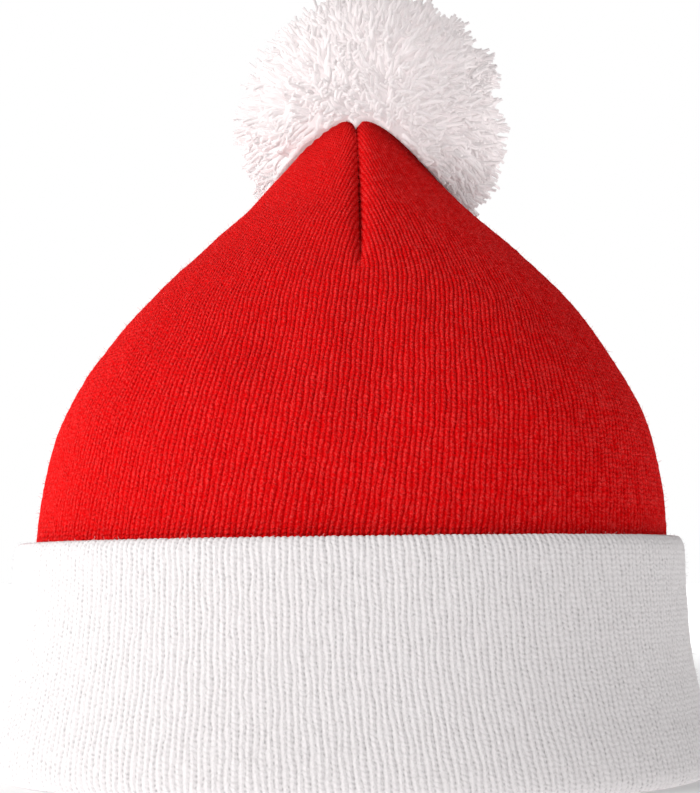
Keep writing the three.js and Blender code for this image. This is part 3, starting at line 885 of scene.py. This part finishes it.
def pushOut(points):
    # points inside the crown move out to its skin
    moved = points.copy()
    clearance = pompom["clearance"] * mm
    for i in np.flatnonzero(points[:, 2] < pompom["crownZone"]):
        spot, normal, _, _ = crownTree.find_nearest(points[i])
        depth = (Vector(points[i]) - spot).dot(normal)
        if depth < clearance:
            moved[i] = spot + normal * clearance
    return moved

def coversCrest(spot):
    # true where a point hangs in front of the crown's top, as the photograph shows it
    return crownTree.ray_cast(spot, spot - eye, pompom["crestReach"])[0] is not None

def offCrown(spot):
    hit, normal, _, _ = crownTree.find_nearest(spot)
    return (spot - hit).dot(normal)

def makeCore():
    # lumpy ball drawn in towards its anchor wherever the crown is in the way
    mesh = bpy.data.meshes.new("pompomCore")
    shape = bmesh.new()
    bmesh.ops.create_icosphere(shape, subdivisions=pompom["coreDetail"],
                               radius=pompom["radius"] * pompom["coreShare"] * mm)
    shape.to_mesh(mesh)
    shape.free()
    points = coordsOf(mesh)
    way = points / np.linalg.norm(points, axis=1, keepdims=True)
    lumps = (1 + 0.02 * np.sin(way[:, 0] * 23 + 1) * np.sin(way[:, 1] * 21) * np.sin(way[:, 2] * 25 + 2)
             + 0.022 * np.sin(way[:, 0] * 8 + 0.4) * np.sin(way[:, 1] * 9 + 1) * np.sin(way[:, 2] * 7 + 2.2))
    points = points * lumps[:, None] + pompomCentre
    anchor = Vector(pompom["anchor"]) * mm
    for i in np.flatnonzero(points[:, 2] < pompom["crestZone"]):
        for share in np.linspace(1, 0.1, 46):
            spot = anchor + (Vector(points[i]) - anchor) * share
            if offCrown(spot) > pompom["clearance"] * mm and not coversCrest(spot):
                break
        points[i] = spot
    setCoords(mesh, points)
    shadeSmooth(mesh)
    mesh.materials.append(pompomYarn)
    return mesh

def openRoots(core):
    # where strands can start: the core a little shrunk, round the origin, without the faces that lie on the crown
    shape = bmesh.new()
    shape.from_mesh(core)
    gap = pompom["rootGap"] * mm
    blocked = [face for face in shape.faces if offCrown(face.calc_center_median()) < gap]
    bmesh.ops.delete(shape, geom=blocked, context="FACES")
    for vert in shape.verts:
        vert.co = (vert.co - Vector(pompomCentre)) * pompom["rootShare"]
    mesh = bpy.data.meshes.new("pompomRoots")
    shape.to_mesh(mesh)
    shape.free()
    return mesh

def clearCrest(mesh):
    # strands that would hang in front of the crown's crest are left out
    pointsEach = pompom["strandPoints"] * pompom["strandSides"]
    strands = coordsOf(mesh).reshape(-1, pointsEach, 3)
    hidden = [strand[:, 2].min() < pompom["crestZone"] and any(coversCrest(Vector(spot)) for spot in strand)
              for strand in strands]
    shape = bmesh.new()
    shape.from_mesh(mesh)
    shape.verts.ensure_lookup_table()
    gone = [shape.verts[i * pointsEach + k] for i in np.flatnonzero(hidden) for k in range(pointsEach)]
    bmesh.ops.delete(shape, geom=gone, context="VERTS")
    shape.to_mesh(mesh)
    shape.free()

def softenNormals(mesh):
    # fine yarn scatters light as the whole ball does, so its shading leans towards the ball's
    shadeSmooth(mesh)
    own = np.empty(len(mesh.vertices) * 3)
    mesh.vertices.foreach_get("normal", own)
    out = coordsOf(mesh) - pompomCentre
    out /= np.linalg.norm(out, axis=1, keepdims=True)
    mixed = own.reshape(-1, 3) * (1 - pompom["softShade"]) + out * pompom["softShade"]
    mixed /= np.linalg.norm(mixed, axis=1, keepdims=True)
    mesh.normals_split_custom_set_from_vertices(mixed.tolist())

coreMesh = makeCore()
pompomPieces = [addObject("pompomCore", coreMesh)]
pompomPieces[0].visible_shadow = False  # loose yarn lets the light through
tree, ids = strandTree(pompomYarn)
for number, seed in enumerate(pompom["seeds"]):
    piece = addObject("pompomStrands" + "AB"[number], openRoots(coreMesh))
    area = sum(p.area for p in piece.data.polygons)
    done = runTree(piece, tree, ids, {
        "Density": pompom["strands"] / area, "Strand Length": pompom["strandLength"] * mm,
        "Strand Radius": pompom["strandRadius"] * mm, "Stand": pompom["stand"], "Comb": pompom["comb"],
        "Crest": list(np.array(pompom["crest"]) * mm - pompomCentre),
        "Lock Size": pompom["lockSize"], "Lock Lean": pompom["lockLean"],
        "Yarn Size": pompom["yarnSize"], "Yarn Lean": pompom["yarnLean"],
        "Wave": pompom["wave"] * mm, "Stray": pompom["stray"], "Seed": seed})
    setCoords(done, pushOut(coordsOf(done) + pompomCentre))
    clearCrest(done)
    softenNormals(done)
    piece.visible_shadow = False
    pompomPieces.append(piece)
    print("pompom strands,", triangleCount(done), "triangles")

for piece in pompomPieces:
    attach(piece, "root")
    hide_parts("pompom")

tie = {
    "ply": 0.62,  # mm, radius of one ply
    "twist": 5.0,  # mm along the tie for one turn
    "low": -9.0, "high": 14.0,  # along the tie from the crown's tip
    "knotRadius": 2.9, "knotTurns": 3, "knotHeight": 2.2,
    "sides": 8,
}

def tubeMesh(name, paths, radius, sides):
    # round yarn along each path, closed at both ends
    points, faces = [], []
    for path in paths:
        path = np.asarray(path, float)
        tangent = np.gradient(path, axis=0)
        tangent /= np.linalg.norm(tangent, axis=1, keepdims=True)
        across = np.cross(tangent, np.where(np.abs(tangent[:, :1]) < 0.8, [[1.0, 0, 0]], [[0, 1.0, 0]]))
        across /= np.linalg.norm(across, axis=1, keepdims=True)
        other = np.cross(tangent, across)
        start = len(points)
        for spot, u, v in zip(path, across, other):
            for turn in np.arange(sides) * 2 * math.pi / sides:
                points.append(spot + radius * (math.cos(turn) * u + math.sin(turn) * v))
        for i in range(len(path) - 1):
            for k in range(sides):
                low, high = start + i * sides, start + (i + 1) * sides
                faces.append((low + k, low + (k + 1) % sides, high + (k + 1) % sides, high + k))
        last = start + (len(path) - 1) * sides
        faces.append(tuple(start + k for k in reversed(range(sides))))
        faces.append(tuple(last + k for k in range(sides)))
    mesh = bpy.data.meshes.new(name)
    mesh.from_pydata((np.array(points) * mm).tolist(), [], faces)
    shadeSmooth(mesh)
    return mesh

def makeTie():
    # two plies twisted through the tip, wound into a knot inside the crown
    side = np.array([1.0, 0, 0])
    front = np.cross(tipAxis, side)
    along = np.linspace(tie["low"], tie["high"], 60)
    paths = []
    for start in (0, math.pi):
        turn = start + along * 2 * math.pi / tie["twist"]
        paths.append(tipPoint + along[:, None] * tipAxis
                     + tie["ply"] * (np.cos(turn)[:, None] * side + np.sin(turn)[:, None] * front))
    turn = np.linspace(0, 2 * math.pi * tie["knotTurns"], 28 * tie["knotTurns"])
    reach = tie["knotRadius"] + 0.45 * np.sin(turn * 1.37)
    level = tie["low"] + tie["knotHeight"] * (turn / turn[-1] - 0.5) + 0.5 * np.sin(turn + 0.6)
    paths.append(tipPoint + level[:, None] * tipAxis
                 + reach[:, None] * (np.cos(turn)[:, None] * side + np.sin(turn)[:, None] * front))
    return tubeMesh("tieYarn", paths, tie["ply"], tie["sides"])

tiePiece = addObject("tieYarn", makeTie())
tiePiece.data.materials.append(pompomYarn)
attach(tiePiece, "root")
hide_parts("pompom_tie")
print("tie made,", triangleCount(tiePiece.data), "triangles")

studio = {
    "surround": 0.86,
    "slope": (-0.2, 0.0, -0.22),  # how the surround brightens along each axis
    "least": 0.05,
    "floorSide": 6.0,  # m from the middle
    "floorGlow": 0.78,
    "floorTone": 0.96,
    "seenGlow": 0.02,  # the floor close to the hat, as the camera sees it
    "seenTone": 0.7,
    "seenFade": (0.2, 1.2),  # m, where that turns into the plain floor
    "lamps": [  # name, place, aim, size, watts, colour
        ("windowLeft", (-1.2, -0.52, 0.62), (0, 0, 0.1), 0.8, 20.0, (1, 0.99, 0.98)),
    ],
}

def makeFloor():
    side = studio["floorSide"]
    mesh = bpy.data.meshes.new("floor")
    mesh.from_pydata([(-side, -side, 0), (side, -side, 0), (side, side, 0), (-side, side, 0)], [], [(0, 1, 2, 3)])
    floor = addObject("floor", mesh)
    paper, tree, shader = newMaterial("palePaper")
    setInputs(tree, shader, {"Roughness": 0.9, "Emission Color": (1, 1, 1, 1)})
    away = vectorCalc(tree, "LENGTH", source(tree, "ShaderNodeTexCoord", "Object"))
    straight = source(tree, "ShaderNodeLightPath", "Is Camera Ray")
    for seen, plain, socket in (("seenGlow", "floorGlow", "Emission Strength"),
                                ("seenTone", "floorTone", "Base Color")):
        less = remap(tree, away, *studio["seenFade"], studio[seen] - studio[plain], 0.0, True)
        setInputs(tree, shader, {socket: calc(tree, "MULTIPLY_ADD", straight, less, studio[plain])})
    mesh.materials.append(paper)

def makeStudio():
    makeFloor()
    world = bpy.data.worlds.new("studio")
    scene.world = world
    world.use_nodes = True
    # the surround is brighter on the left, and plain white where the camera looks straight at it
    tree = world.node_tree
    way = source(tree, "ShaderNodeTexCoord", "Generated")
    level = plus(tree, vectorCalc(tree, "DOT_PRODUCT", way, studio["slope"]), studio["surround"])
    glow = tree.nodes["Background"]
    setInputs(tree, glow, {"Color": (1, 1, 1, 1), "Strength": calc(tree, "MAXIMUM", level, studio["least"])})
    white = addNode(tree, "ShaderNodeBackground", {"Color": (1, 1, 1, 1), "Strength": 1.0})
    straight = source(tree, "ShaderNodeLightPath", "Is Camera Ray")
    mix = addNode(tree, "ShaderNodeMixShader", {"Fac": straight, 1: glow, 2: white})
    setInputs(tree, tree.nodes["World Output"], {"Surface": mix})
    for name, place, aim, size, power, colour in studio["lamps"]:
        lamp = bpy.data.lights.new(name, "AREA")
        lamp.size = size
        lamp.energy = power
        lamp.color = colour
        holder = bpy.data.objects.new(name, lamp)
        holder.location = place
        holder.rotation_euler = (Vector(aim) - Vector(place)).to_track_quat("-Z", "Y").to_euler()
        scene.collection.objects.link(holder)
    scene.view_settings.view_transform = "Standard"
    scene.cycles.diffuse_bounces = 16  # light wanders a long way between white strands
    scene.cycles.max_bounces = 20

makeStudio()
print("studio made")
